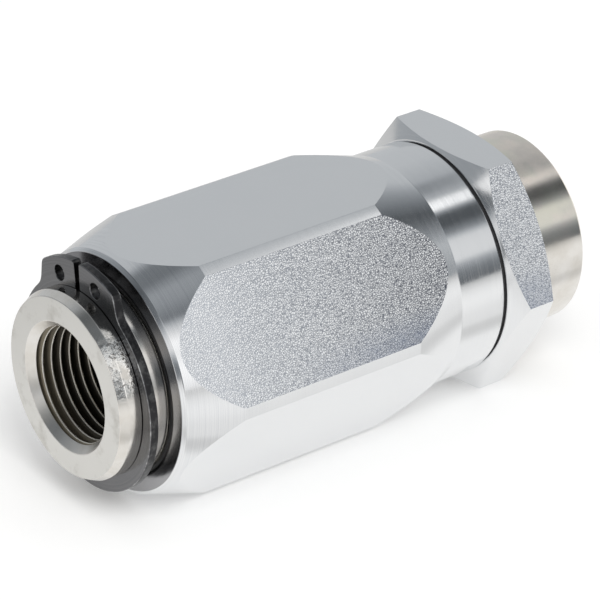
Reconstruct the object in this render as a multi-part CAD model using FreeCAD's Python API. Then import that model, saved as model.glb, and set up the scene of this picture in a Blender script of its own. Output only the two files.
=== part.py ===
import FreeCAD, Part
import math
import os

from FreeCAD import Vector

# In-line throttle and non-return valve for pipe thread G 3/8, in millimetres.
# The valve's axis is X, from the nose (left) to the tail. Every station below is a
# distance from the nose face. The finished pieces are moved so that the origin is on
# the axis, half way along the housing. A flat of each hexagon faces up, along +Z.

# Line ports, the same at both ends
port_major_diameter = 16.662
port_depth = 12.0
port_mouth_chamfer = 0.2
drill_point_half_angle = 59.0

# Outside of the housing tube
nose_wall = 3.87
nose_bevel_depth = 0.55
nose_bevel_length = 1.1
nose_length = 2.9
land_step = 0.6
land_lead_in = 0.3
tail_length = 8.8
tail_bevel = 0.4

# Adjusting thread, drawn as its crest cylinder
thread_pitch = 1.5
thread_rise = 1.2
thread_clearance = 0.05
thread_lead_in = 0.8
thread_shoulder_gap = 0.3
thread_end_under_nut = 0.3

# Stop ring: an open spring steel ring with two lugs
groove_depth = 0.75
ring_thickness = 1.2
ring_side_play = 0.1
ring_groove_clearance = 0.02
ring_width = 2.87
ring_eccentricity = 0.52
ring_turn = -4.4
lug_height = 4.33
lug_start_angle = 2.1
lug_end_angle = 28.5
lug_root_angle = 37.5
lug_hole_diameter = 2.05
lug_hole_height = 2.28
lug_hole_angle = 16.0
lug_gap_corner = 0.4
lug_back_corner = 1.3
lug_root_fillet = 2.6

# Adjusting sleeve: how far it moves, and its outside
sleeve_turns = 1.5
stop_gap = 0.11
chamber_depth = 1.5
sleeve_wall = 1.7
corner_trim = 0.445
front_rim_step = 0.21
front_rim_chamfer = 0.45
front_cone_length = 7.04
rear_collar_step = 0.475
rear_cone_length = 8.77
rear_collar_length = 6.96
rear_collar_edge = 0.2

# Adjusting sleeve: its bore, one length after the other from the front
guide_clearance = 0.06
wiper_entry_depth = 0.5
wiper_entry_step = 0.4
wiper_width = 2.3
seal_rib = 1.6
o_ring_space = 2.2
backup_width = 1.3
seal_side_play = 0.1
guide_length = 3.5
chamber_length = 23.2
throttle_land_length = 3.5
rear_rib = 1.6
sleeve_thread_length = 6.77

# Seals, in their fitted size
seal_depth = 1.5
seal_clearance = 0.04
wiper_lip_length = 0.45
wiper_lip_thickness = 0.3
wiper_lip_slant = 0.12

# Lock nut and the seal ring in its front recess
nut_gap = 0.37
nut_width = 6.65
nut_face_step = 0.4
nut_chamfer_angle = 27.0
nut_bore_chamfer = 0.5
nut_recess_rim = 0.3
nut_recess_depth = 1.1
nut_seal_clearance = 0.04

# Side bores through the housing wall
supply_bore_diameter = 4.0
supply_bore_count = 4
supply_bore_inset = 5.9
throttle_bore_diameter = 2.0
throttle_bore_count = 6
throttle_bore_gap = 0.2

# Inside of the housing tube
flow_bore_diameter = 12.0
seat_bore_diameter = 10.0
seat_chamfer = 0.8
seat_web = 3.0
seat_to_throttle_bores = 7.0
poppet_bore_diameter = 14.6

# Poppet
poppet_seat_gap = 0.05
poppet_tip_diameter = 6.8
poppet_head_diameter = 12.2
poppet_rim_length = 2.15
poppet_edge = 0.25
poppet_lift = 3.0
poppet_lift_gap = 0.05
stem_thick_diameter = 7.8
stem_thin_diameter = 5.0
stem_overhang = 1.0
stem_end_chamfer = 0.5

# Closing spring, spring plate and snap ring
spring_mean_diameter = 9.6
spring_wire = 0.9
spring_turns = 5.0
spring_length = 16.5
spring_end_gap = 0.03
plate_thickness = 2.0
plate_clearance = 0.05
plate_stem_clearance = 0.05
plate_notch_diameter = 3.2
plate_notch_count = 6
snap_width = 1.1
snap_side_play = 0.1
snap_groove_depth = 0.4
snap_groove_clearance = 0.03
snap_radial_width = 1.3
snap_gap_angle = 40.0

# Radii that follow from the sizes above
port_radius = port_major_diameter / 2
nose_radius = port_radius + nose_wall
land_radius = nose_radius + land_step
groove_radius = nose_radius - groove_depth
thread_radius = land_radius + thread_rise
thread_bore_radius = thread_radius + thread_clearance
chamber_radius = land_radius + chamber_depth
hex_apothem = chamber_radius + sleeve_wall
hex_corner_radius = hex_apothem / math.cos(math.radians(30))
turned_radius = hex_corner_radius - corner_trim
guide_radius = land_radius + guide_clearance
seal_groove_radius = land_radius + seal_depth
seal_inner_radius = land_radius + seal_clearance
seal_outer_radius = seal_groove_radius - seal_clearance
nut_recess_radius = hex_apothem - nut_face_step - nut_recess_rim
poppet_bore_radius = poppet_bore_diameter / 2
poppet_head_radius = poppet_head_diameter / 2
seat_mouth_radius = seat_bore_diameter / 2 + seat_chamfer

# Stations that follow from the sizes above
groove_end = nose_length + ring_thickness + ring_side_play
ring_front = nose_length + ring_side_play / 2
ring_back = ring_front + ring_thickness
sleeve_travel = sleeve_turns * thread_pitch
sleeve_front = ring_back + stop_gap + sleeve_travel
seal_groove_length = o_ring_space + backup_width + seal_side_play
wiper_groove_start = sleeve_front + wiper_entry_depth
wiper_groove_end = wiper_groove_start + wiper_width + seal_side_play
front_groove_start = wiper_groove_end + seal_rib
front_groove_end = front_groove_start + seal_groove_length
chamber_start = front_groove_end + guide_length
chamber_end = chamber_start + chamber_length
rear_groove_start = chamber_end + throttle_land_length
rear_groove_end = rear_groove_start + seal_groove_length
sleeve_thread_start = rear_groove_end + rear_rib
sleeve_back = sleeve_thread_start + sleeve_thread_length
nut_front = sleeve_back + nut_gap
nut_back = nut_front + nut_width
housing_length = nut_back + tail_length
thread_start = sleeve_thread_start + thread_shoulder_gap
thread_end = nut_back - thread_end_under_nut
supply_bore_station = chamber_start + supply_bore_inset
throttle_bore_station = chamber_end - throttle_bore_gap - throttle_bore_diameter / 2
seat_station = throttle_bore_station - seat_to_throttle_bores
head_cone_end = seat_station + poppet_seat_gap + poppet_head_radius - seat_mouth_radius
head_back = head_cone_end + poppet_rim_length
plate_front = head_back + spring_length
plate_back = plate_front + plate_thickness
snap_groove_end = plate_back + snap_width + snap_side_play


def turned(profile, angle=360):
    """Turn a closed outline of (station, radius) points about the valve's axis."""
    points = [Vector(station, 0, radius) for station, radius in profile]
    face = Part.Face(Part.makePolygon(points + points[:1]))
    return face.revolve(Vector(0, 0, 0), Vector(1, 0, 0), angle)


def octagon(apothem):
    """Corners of the octagon that stands for a round section, two flats square to each side."""
    corner = apothem / math.cos(math.radians(22.5))
    turns = [math.radians(22.5 + 45 * i) for i in range(8)]
    return [(corner * math.cos(turn), corner * math.sin(turn)) for turn in turns]


def ring(start, end, inner_radius, outer_radius):
    """A plain ring of rectangular section round the axis."""
    return turned([(start, inner_radius), (start, outer_radius), (end, outer_radius), (end, inner_radius)])


def drum(start, end, radius):
    """A solid cylinder on the axis."""
    return Part.makeCylinder(radius, end - start, Vector(start, 0, 0), Vector(1, 0, 0))


def around(shape, angle):
    """A copy turned about the axis: a positive angle takes the top towards -Y."""
    copy = shape.copy()
    copy.rotate(Vector(0, 0, 0), Vector(1, 0, 0), angle)
    return copy


def hexagon_bar(start, end):
    """Hexagon bar stock with a flat on top."""
    corners = [around(Part.Vertex(start, 0, hex_corner_radius), 30 + 60 * i).Point for i in range(6)]
    return Part.Face(Part.makePolygon(corners + corners[:1])).extrude(Vector(end - start, 0, 0))


def radial_bores(station, diameter, count):
    """Bores drilled from outside to the axis, evenly spaced from the top."""
    reach = land_radius + land_step
    drill = Part.makeCylinder(diameter / 2, reach, Vector(station, 0, 0), Vector(0, 0, 1))
    return [around(drill, 360 * i / count) for i in range(count)]


def drill_cone_length(from_radius, to_radius):
    """Length of the cone that a drill point leaves between two radii."""
    return (from_radius - to_radius) / math.tan(math.radians(drill_point_half_angle))


def housing_outside():
    """Nose with its bevel and ring groove, guide land, thread crest and tail."""
    return turned([
        (0, 0),
        (0, nose_radius - nose_bevel_depth),
        (nose_bevel_length, nose_radius),
        (nose_length, nose_radius),
        (nose_length, groove_radius),
        (groove_end, groove_radius),
        (groove_end, land_radius - land_lead_in),
        (groove_end + land_lead_in, land_radius),
        (thread_start, land_radius),
        (thread_start + thread_lead_in, thread_radius),
        (thread_end - thread_lead_in, thread_radius),
        (thread_end, land_radius),
        (housing_length - tail_bevel, land_radius),
        (housing_length, land_radius - tail_bevel),
        (housing_length, 0),
    ])


def nose_bore():
    """Nose port, its drill cone, the flow bore and the hole of the valve seat."""
    flow_radius = flow_bore_diameter / 2
    seat_radius = seat_bore_diameter / 2
    cone_end = port_depth + drill_cone_length(port_radius, flow_radius)
    return turned([
        (0, 0),
        (0, port_radius + port_mouth_chamfer),
        (port_mouth_chamfer, port_radius),
        (port_depth, port_radius),
        (cone_end, flow_radius),
        (seat_station - seat_web, flow_radius),
        (seat_station - seat_web, seat_radius),
        (seat_station - seat_chamfer, seat_radius),
        (seat_station, seat_mouth_radius),
        (seat_station, 0),
    ])


def tail_bore():
    """Poppet chamber, the snap ring's groove, and the tail port behind them."""
    port_end = housing_length - port_depth
    cone_start = port_end - drill_cone_length(port_radius, poppet_bore_radius)
    groove = poppet_bore_radius + snap_groove_depth
    return turned([
        (seat_station, 0),
        (seat_station, poppet_bore_radius),
        (plate_back, poppet_bore_radius),
        (plate_back, groove),
        (snap_groove_end, groove),
        (snap_groove_end, poppet_bore_radius),
        (cone_start, poppet_bore_radius),
        (port_end, port_radius),
        (housing_length - port_mouth_chamfer, port_radius),
        (housing_length, port_radius + port_mouth_chamfer),
        (housing_length, 0),
    ])


def housing_tube():
    """The one-piece housing, turned from bar and drilled from the side."""
    bores = radial_bores(supply_bore_station, supply_bore_diameter, supply_bore_count)
    bores += radial_bores(throttle_bore_station, throttle_bore_diameter, throttle_bore_count)
    return housing_outside().cut([nose_bore(), tail_bore()] + bores)


def on_ring(radius, angle):
    """A point in the stop ring's front plane, at an angle from the top towards -Y."""
    turn = math.radians(angle)
    return Vector(ring_front, -radius * math.sin(turn), radius * math.cos(turn))


def ring_outline_radius(angle):
    """How far the ring's eccentric outer circle lies from the axis at an angle."""
    circle = groove_radius + ring_width - ring_eccentricity
    turn = math.radians(angle)
    across = ring_eccentricity * math.sin(turn)
    return math.sqrt(circle * circle - across * across) - ring_eccentricity * math.cos(turn)


def ring_lug(side):
    """One lug: an arc outside, a straight end at the gap and a sloping back."""
    lug_radius = groove_radius + lug_height
    inside = groove_radius + ring_eccentricity
    gap_top = on_ring(lug_radius, side * lug_start_angle)
    arc_middle = on_ring(lug_radius, side * (lug_start_angle + lug_end_angle) / 2)
    arc_end = on_ring(lug_radius, side * lug_end_angle)
    root = on_ring(ring_outline_radius(lug_root_angle), side * lug_root_angle)
    root_inside = on_ring(inside, side * lug_root_angle)
    gap_inside = on_ring(inside, side * lug_start_angle)
    edges = [Part.Arc(gap_top, arc_middle, arc_end).toShape()]
    corners = [arc_end, root, root_inside, gap_inside, gap_top]
    edges += [Part.makeLine(a, b) for a, b in zip(corners, corners[1:])]
    return Part.Face(Part.Wire(edges)).extrude(Vector(ring_thickness, 0, 0))


def edges_along(shape, places):
    """The shape's edges parallel to the axis that pass through the given places."""
    found = []
    for edge in shape.Edges:
        a, b = edge.firstVertex().Point, edge.lastVertex().Point
        along = abs(a.y - b.y) < 1e-6 and abs(a.z - b.z) < 1e-6
        if along and any(math.hypot(a.y - p.y, a.z - p.z) < 1e-3 for p in places):
            found.append(edge)
    return found


def rounded(shape, radius, distance, angle):
    """Round the two mirrored corners at a distance and angle from the gap."""
    places = [on_ring(distance, angle), on_ring(distance, -angle)]
    return shape.makeFillet(radius, edges_along(shape, places))


def stop_ring():
    """The retaining ring in the housing's groove, which stops the sleeve."""
    circle = groove_radius + ring_width - ring_eccentricity
    centre = Vector(ring_front, 0, -ring_eccentricity)
    blank = Part.makeCylinder(circle, ring_thickness, centre, Vector(1, 0, 0))
    blank = blank.fuse([ring_lug(1), ring_lug(-1)]).removeSplitter()
    lug_radius = groove_radius + lug_height
    blank = rounded(blank, lug_back_corner, lug_radius, lug_end_angle)
    blank = rounded(blank, lug_root_fillet, ring_outline_radius(lug_root_angle), lug_root_angle)
    gap = [Vector(ring_front, 0, 0)]
    gap += [on_ring(2 * lug_radius, side * lug_start_angle) for side in (-1, 1)]
    gap_wedge = Part.Face(Part.makePolygon(gap + gap[:1])).extrude(Vector(ring_thickness, 0, 0))
    bore = drum(ring_front, ring_back, groove_radius + ring_groove_clearance)
    hole_radius = groove_radius + lug_hole_height
    holes = [
        Part.makeCylinder(
            lug_hole_diameter / 2,
            ring_thickness,
            on_ring(hole_radius, side * lug_hole_angle),
            Vector(1, 0, 0),
        )
        for side in (-1, 1)
    ]
    open_ring = blank.cut([bore, gap_wedge] + holes)
    open_ring = rounded(open_ring, lug_gap_corner, lug_radius, lug_start_angle)
    return around(open_ring, ring_turn)


def sleeve_outside():
    """Turned outline: front rim, front cone, trimmed corners, rear cone and collar."""
    rim = hex_apothem - front_rim_step
    collar = hex_apothem - rear_collar_step
    rim_start = sleeve_front + front_rim_chamfer
    collar_start = sleeve_back - rear_collar_length
    return turned([
        (sleeve_front, 0),
        (sleeve_front, rim - front_rim_chamfer),
        (rim_start, rim),
        (rim_start + front_cone_length, turned_radius),
        (collar_start - rear_cone_length, turned_radius),
        (collar_start, collar),
        (sleeve_back - rear_collar_edge, collar),
        (sleeve_back, collar - rear_collar_edge),
        (sleeve_back, 0),
    ])


def sleeve_bore():
    """Wiper groove, seal groove, guide, flow chamber, throttle land, seal groove, thread."""
    entry = land_radius + wiper_entry_step
    return turned([
        (sleeve_front, 0),
        (sleeve_front, entry),
        (wiper_groove_start, entry),
        (wiper_groove_start, seal_groove_radius),
        (wiper_groove_end, seal_groove_radius),
        (wiper_groove_end, guide_radius),
        (front_groove_start, guide_radius),
        (front_groove_start, seal_groove_radius),
        (front_groove_end, seal_groove_radius),
        (front_groove_end, guide_radius),
        (chamber_start, guide_radius),
        (chamber_start + chamber_depth, chamber_radius),
        (chamber_end, chamber_radius),
        (chamber_end, guide_radius),
        (rear_groove_start, guide_radius),
        (rear_groove_start, seal_groove_radius),
        (rear_groove_end, seal_groove_radius),
        (rear_groove_end, guide_radius),
        (sleeve_thread_start, guide_radius),
        (sleeve_thread_start, thread_bore_radius),
        (sleeve_back, thread_bore_radius),
        (sleeve_back, 0),
    ])


def adjusting_sleeve():
    """The hexagon sleeve that the hand or a spanner turns."""
    bar = hexagon_bar(sleeve_front, sleeve_back)
    return sleeve_outside().common(bar).cut(sleeve_bore())


def wiper_ring():
    """Wiper with a thin lip that shows in the front end of the sleeve."""
    start = wiper_groove_start + seal_side_play / 2
    end = start + wiper_width
    lip_radius = seal_inner_radius + wiper_lip_thickness
    return turned([
        (start - wiper_lip_length, seal_inner_radius),
        (start - wiper_lip_length + wiper_lip_slant, lip_radius),
        (start, lip_radius),
        (start, seal_outer_radius),
        (end, seal_outer_radius),
        (end, seal_inner_radius),
    ])


def o_ring(middle):
    """An O-ring, squeezed to the depth of its groove."""
    section_radius = (seal_outer_radius - seal_inner_radius) / 2
    ring_radius = (seal_outer_radius + seal_inner_radius) / 2
    return turned([(middle + along, ring_radius + out) for along, out in octagon(section_radius)])


def backup_ring(start):
    """The flat ring that keeps an O-ring from being pushed into the gap."""
    return ring(start, start + backup_width, seal_inner_radius, seal_outer_radius)


def nut_outside():
    """Turned outline of the nut, chamfered at both ends."""
    face = hex_apothem - nut_face_step
    top = hex_corner_radius + nut_face_step
    chamfer = (top - face) * math.tan(math.radians(nut_chamfer_angle))
    return turned([
        (nut_front, 0),
        (nut_front, face),
        (nut_front + chamfer, top),
        (nut_back - chamfer, top),
        (nut_back, face),
        (nut_back, 0),
    ])


def nut_bore():
    """Front recess for the seal ring, then the thread."""
    return turned([
        (nut_front, 0),
        (nut_front, nut_recess_radius),
        (nut_front + nut_recess_depth, nut_recess_radius),
        (nut_front + nut_recess_depth, thread_bore_radius),
        (nut_back - nut_bore_chamfer, thread_bore_radius),
        (nut_back, thread_bore_radius + nut_bore_chamfer),
        (nut_back, 0),
    ])


def lock_nut():
    """The thin hexagon nut that holds the sleeve's setting."""
    return nut_outside().common(hexagon_bar(nut_front, nut_back)).cut(nut_bore())


def nut_seal():
    """Rubber ring in the nut's recess, which seals the thread against the sleeve."""
    gap = nut_seal_clearance
    return ring(
        sleeve_back + gap,
        nut_front + nut_recess_depth - gap,
        thread_bore_radius + gap,
        nut_recess_radius - gap,
    )


def poppet():
    """Cone on a stem: the shoulder where the stem gets thin stops the lift."""
    tip_radius = poppet_tip_diameter / 2
    thick = stem_thick_diameter / 2
    thin = stem_thin_diameter / 2
    shoulder = plate_front - poppet_lift - poppet_lift_gap
    end = plate_back + stem_overhang
    return turned([
        (head_cone_end - poppet_head_radius + tip_radius, 0),
        (head_cone_end - poppet_head_radius + tip_radius, tip_radius),
        (head_cone_end, poppet_head_radius),
        (head_back - poppet_edge, poppet_head_radius),
        (head_back, poppet_head_radius - poppet_edge),
        (head_back, thick),
        (shoulder - poppet_edge, thick),
        (shoulder, thick - poppet_edge),
        (shoulder, thin),
        (end - stem_end_chamfer, thin),
        (end, thin - stem_end_chamfer),
        (end, 0),
    ])


def valve_spring():
    """Closing spring between the poppet's head and the spring plate."""
    rise = spring_length - spring_wire - 2 * spring_end_gap
    pitch = rise / spring_turns
    coil_radius = spring_mean_diameter / 2
    helix = Part.makeHelix(pitch, rise, coil_radius)
    outward = Vector(1, 0, 0)
    wire_direction = Vector(0, coil_radius, pitch / (2 * math.pi)).normalize()
    sideways = wire_direction.cross(outward)
    corners = [
        outward * (coil_radius + out) + sideways * side for out, side in octagon(spring_wire / 2)
    ]
    section = Part.makePolygon(corners + corners[:1])
    coil = Part.Wire(helix.Edges).makePipeShell([section], True, True)
    coil.rotate(Vector(0, 0, 0), Vector(0, 1, 0), 90)
    coil.translate(Vector(head_back + spring_end_gap + spring_wire / 2, 0, 0))
    return coil


def spring_plate():
    """Guide disc for the stem, with notches in its rim for the flow."""
    rim = poppet_bore_radius - plate_clearance
    stem_hole = drum(plate_front, plate_back, stem_thin_diameter / 2 + plate_stem_clearance)
    notch = Part.makeCylinder(
        plate_notch_diameter / 2,
        plate_thickness,
        Vector(plate_front, 0, rim),
        Vector(1, 0, 0),
    )
    notches = [around(notch, 360 * i / plate_notch_count) for i in range(plate_notch_count)]
    return drum(plate_front, plate_back, rim).cut([stem_hole] + notches)


def snap_ring():
    """Open ring in the poppet bore's groove, which holds the spring plate."""
    start = plate_back + snap_side_play / 2
    outer = poppet_bore_radius + snap_groove_depth - snap_groove_clearance
    inner = outer - snap_radial_width
    end = start + snap_width
    open_ring = turned(
        [(start, inner), (start, outer), (end, outer), (end, inner)],
        360 - snap_gap_angle,
    )
    return around(open_ring, snap_gap_angle / 2)


def build_pieces():
    """Every piece of the valve by its name."""
    o_ring_middle = o_ring_space / 2
    front_backup_start = front_groove_start + seal_side_play / 2
    rear_backup_start = rear_groove_end - seal_side_play / 2 - backup_width
    return {
        "housing_tube": housing_tube(),
        "stop_ring": stop_ring(),
        "adjusting_sleeve": adjusting_sleeve(),
        "wiper_ring": wiper_ring(),
        "front_o_ring": o_ring(front_groove_end - o_ring_middle),
        "front_backup_ring": backup_ring(front_backup_start),
        "rear_o_ring": o_ring(rear_groove_start + o_ring_middle),
        "rear_backup_ring": backup_ring(rear_backup_start),
        "lock_nut": lock_nut(),
        "nut_seal": nut_seal(),
        "poppet": poppet(),
        "valve_spring": valve_spring(),
        "spring_plate": spring_plate(),
        "snap_ring": snap_ring(),
    }


os.makedirs("parts", exist_ok=True)
for node, shape in build_pieces().items():
    shape.translate(Vector(-housing_length / 2, 0, 0))
    shape.exportStep("parts/" + node + ".step")
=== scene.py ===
# %% [markdown]
# # A non-return valve, dressed in Blender
#
# The valve is a steel tube with a pipe thread in each end. A long hexagon sleeve turns
# on it to set the flow, a thin nut locks the sleeve, and a dark spring ring stops it at
# the front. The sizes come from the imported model. This lesson gives the metal its
# finish, cuts the threads, and lights it all as the photograph does.

import bmesh
import bpy
import math
from mathutils import Matrix, Vector


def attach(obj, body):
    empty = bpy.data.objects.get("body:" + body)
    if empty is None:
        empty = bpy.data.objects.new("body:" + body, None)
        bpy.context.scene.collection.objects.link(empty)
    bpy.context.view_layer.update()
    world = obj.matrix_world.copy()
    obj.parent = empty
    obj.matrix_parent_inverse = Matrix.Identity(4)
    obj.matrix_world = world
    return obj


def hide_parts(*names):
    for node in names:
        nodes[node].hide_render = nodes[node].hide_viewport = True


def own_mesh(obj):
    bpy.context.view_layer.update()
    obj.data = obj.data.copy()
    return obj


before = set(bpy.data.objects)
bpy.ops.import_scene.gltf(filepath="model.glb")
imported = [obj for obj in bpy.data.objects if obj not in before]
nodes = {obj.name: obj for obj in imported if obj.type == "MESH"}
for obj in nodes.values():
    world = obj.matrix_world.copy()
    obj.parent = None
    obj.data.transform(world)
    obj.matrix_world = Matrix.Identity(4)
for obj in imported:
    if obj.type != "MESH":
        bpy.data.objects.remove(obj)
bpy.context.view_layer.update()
MM = 0.001
HALF_LENGTH = 36.3
print("pieces in the packed model:", len(nodes))

# %% [markdown]
# Lengths along the valve are easier to read as a distance from the nose face, in
# millimetres, because that is how a turner would measure them. Two small helpers turn
# such a station into Blender's metres.


# %% Stations in millimetres
def along(station):
    """X in metres of a station that is measured from the nose face in millimetres."""
    return (station - HALF_LENGTH) * MM


def outline_points(outline):
    """Points of a half section, in the plane above the axis."""
    return [(along(station), 0.0, radius * MM) for station, radius in outline]


print("nose face at x =", along(0), "and tail face at x =", along(72.6))

# %% [markdown]
# Node trees are built by script here. One helper adds a node, fills its inputs with
# numbers or links, and hands the node back, so that a tree reads from top to bottom
# like a recipe. It serves shaders and geometry alike. The others are short names for
# what is needed most: sums, products, and a new object in the scene.


# %% A helper that adds a node
def add(tree, kind, values=(), **settings):
    """Add a node. The values are inputs in order (None is left alone) or by name."""
    node = tree.nodes.new(kind)
    for name, setting in settings.items():
        setattr(node, name, setting)
    named = values.items() if isinstance(values, dict) else enumerate(values)
    for key, value in named:
        if isinstance(value, bpy.types.NodeSocket):
            tree.links.new(value, node.inputs[key])
        elif value is not None:
            node.inputs[key].default_value = value
    return node


def calc(tree, operation, *values):
    """A Math node's result."""
    return add(tree, "ShaderNodeMath", values, operation=operation).outputs[0]


def plus(tree, first, second):
    """The sum of two values."""
    return calc(tree, "ADD", first, second)


def minus(tree, first, second):
    """What is left of the first value without the second."""
    return calc(tree, "SUBTRACT", first, second)


def times(tree, first, second):
    """The product of two values."""
    return calc(tree, "MULTIPLY", first, second)


def vector_calc(tree, operation, *values, result="Vector"):
    """A Vector Math node's result."""
    return add(tree, "ShaderNodeVectorMath", values, operation=operation).outputs[result]


def new_object(name, data):
    """An object in the scene that carries a mesh, a light or a camera."""
    made = bpy.data.objects.new(name, data)
    bpy.context.scene.collection.objects.link(made)
    return made


print("helpers for node trees and objects are ready")

# %% [markdown]
# ## Finishes
#
# Every finish is worked out from the piece's own coordinates, in millimetres, so that a
# scratch or a grain stays where it is on the metal when the piece moves. The distance
# from the axis tells turned surfaces apart, and the place along the axis gives the
# lines that a cutting tool leaves.


# %% Coordinates that every finish reads
def metal_plan(name):
    """A new material with its shader, its place in millimetres and its radius."""
    material = bpy.data.materials.new(name)
    material.use_nodes = True
    tree = material.node_tree
    shader = tree.nodes["Principled BSDF"]
    place = add(tree, "ShaderNodeTexCoord").outputs["Object"]
    place = vector_calc(tree, "MULTIPLY", place, (1000, 1000, 1000))
    parts = add(tree, "ShaderNodeSeparateXYZ", [place]).outputs
    radius = plus(tree, times(tree, parts[1], parts[1]), times(tree, parts[2], parts[2]))
    radius = calc(tree, "SQRT", radius)
    return material, tree, shader, place, parts, radius


def noise(tree, place, scale, detail=3.0, roughness=0.55):
    """Cloudy noise from 0 to 1; the scale counts blobs to the millimetre."""
    values = {"Vector": place, "Scale": scale, "Detail": detail, "Roughness": roughness}
    return add(tree, "ShaderNodeTexNoise", values).outputs["Fac"]


def stretch(tree, value, low, high, to_low=0.0, to_high=1.0):
    """Spread a value between two limits over another range, and clamp it."""
    values = [value, low, high, to_low, to_high]
    return add(tree, "ShaderNodeMapRange", values, clamp=True).outputs[0]


def blend(tree, share, first, second):
    """Mix two colours."""
    node = add(tree, "ShaderNodeMix", data_type="RGBA")
    for socket, value in zip((node.inputs[0], node.inputs[6], node.inputs[7]), (share, first, second)):
        if isinstance(value, bpy.types.NodeSocket):
            tree.links.new(value, socket)
        else:
            socket.default_value = value if socket is node.inputs[0] else (*value, 1.0)
    return node.outputs[2]


def bump(tree, height, depth, below=None):
    """Normals of a relief whose height of 1 stands for a depth in millimetres."""
    values = {"Height": height, "Distance": depth * MM, "Strength": 1.0}
    if below is not None:
        values["Normal"] = below
    return add(tree, "ShaderNodeBump", values).outputs[0]


print("coordinates, noise, colour mix and relief are ready")

# %% [markdown]
# A lathe tool leaves fine rings. Seen close up they are a random relief that changes
# fast along the axis and hardly at all round it. Squeezing the coordinates of a noise
# texture does exactly that: many blobs to the millimetre along X, few round the axis.


# %% Rings left by turning
def turning_rings(tree, parts, radius, fineness=9.0):
    """Noise that runs round the axis: the radius and X change fast, the angle slowly."""
    slow = 0.04
    across = plus(tree, times(tree, parts[0], fineness), times(tree, radius, fineness))
    place = add(tree, "ShaderNodeCombineXYZ",
                [across, times(tree, parts[1], slow), times(tree, parts[2], slow)]).outputs[0]
    return noise(tree, place, 1.0, 2.0)


print("turning rings are ready")

# %% [markdown]
# The sleeve and the nut are cut from hexagon bar and plated with bright zinc. One pair
# of flats keeps the bar's own pitted skin, fine as salt and pepper, and the other flats
# are drawn smooth. Cones, chamfers and the collar are freshly turned. One material
# serves all of it: a point lies on a flat where its distance across the hexagon reaches
# 16 mm, half the spanner size. A dot product with each flat's direction measures that.
#
# Plain noise makes blots, not grains. Cells of a Voronoi texture that is read at a
# warped place look right, with dark grooves where the distance to the next cell is
# small. The grooves get deeper towards the tail, and low on the flat is a dull patch.
# The sleeve's front face is dark with oil and painted shade: it turns darker towards
# the top, where the stop ring shades it, and its inner rim is painted black as the
# shadow in the gap round the tube.


# %% Bright zinc on hexagon bar
FLAT_DISTANCE = 16.0
SLEEVE_FRONT = -29.79
INNER_RIM = 13.50


def across_flats(tree, place, turn):
    """Distance from the middle, measured square to the pair of flats at a turn."""
    direction = (0, -math.sin(math.radians(turn)), math.cos(math.radians(turn)))
    return calc(tree, "ABSOLUTE", vector_calc(tree, "DOT_PRODUCT", place, direction, result="Value"))


def bar_grain(tree, place):
    """Distance from the groove between two grains of the bar's skin."""
    warp = add(tree, "ShaderNodeTexNoise", {"Vector": place, "Scale": 3.0, "Detail": 1.0}).outputs["Color"]
    warped = vector_calc(tree, "ADD", place, vector_calc(tree, "MULTIPLY", warp, (0.25, 0.25, 0.25)))
    values = {"Vector": warped, "Scale": 4.0}
    return add(tree, "ShaderNodeTexVoronoi", values, feature="DISTANCE_TO_EDGE").outputs["Distance"]


def skin_colour(tree, place, parts, grain, deep, clouds):
    """Bright grains, dark grooves, and a dull patch low on the flat."""
    groove = blend(tree, deep, (0.66, 0.69, 0.74), (0.01, 0.02, 0.05))
    colour = blend(tree, stretch(tree, grain, 0.02, 0.19), groove, (0.98, 0.99, 1.0))
    up_the_flat = vector_calc(tree, "DOT_PRODUCT", place, (0, 0.5, 0.866), result="Value")
    dull = times(tree, stretch(tree, up_the_flat, -4.0, -7.5), stretch(tree, parts[0], -14.0, -2.0))
    dull = times(tree, dull, stretch(tree, clouds, 0.35, 0.60, 0.22, 0.50))
    return blend(tree, dull, colour, (0.30, 0.35, 0.46))


def turned_colour(tree, parts, radius, turned, clouds):
    """Pale zinc with cutting lines that fade towards the tail."""
    pale = blend(tree, clouds, (0.80, 0.81, 0.82), (0.85, 0.855, 0.86))
    lines = times(tree, turned, stretch(tree, turning_rings(tree, parts, radius, 16.0), 0.55, 0.35))
    lines = times(tree, lines, stretch(tree, parts[0], -24.0, -18.0, 0.75, 0.2))
    return blend(tree, lines, pale, (0.70, 0.71, 0.73))


def oil_and_shade_on_face(tree, parts, radius):
    """Colour of the sleeve's front face, with painted shade of the stop ring towards the top and a painted
    black shadow at its inner rim.
    """
    # painted shadow: the face turns darker towards the top, where the stop ring shades it
    film = blend(tree, stretch(tree, parts[2], 3.0, 12.0), (0.38, 0.38, 0.39), (0.20, 0.20, 0.21))
    # painted shade: the black band at the inner rim stands in for the shadow in the gap round the tube
    return blend(tree, stretch(tree, radius, INNER_RIM, INNER_RIM + 0.15), (0.012, 0.012, 0.013), film)


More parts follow.
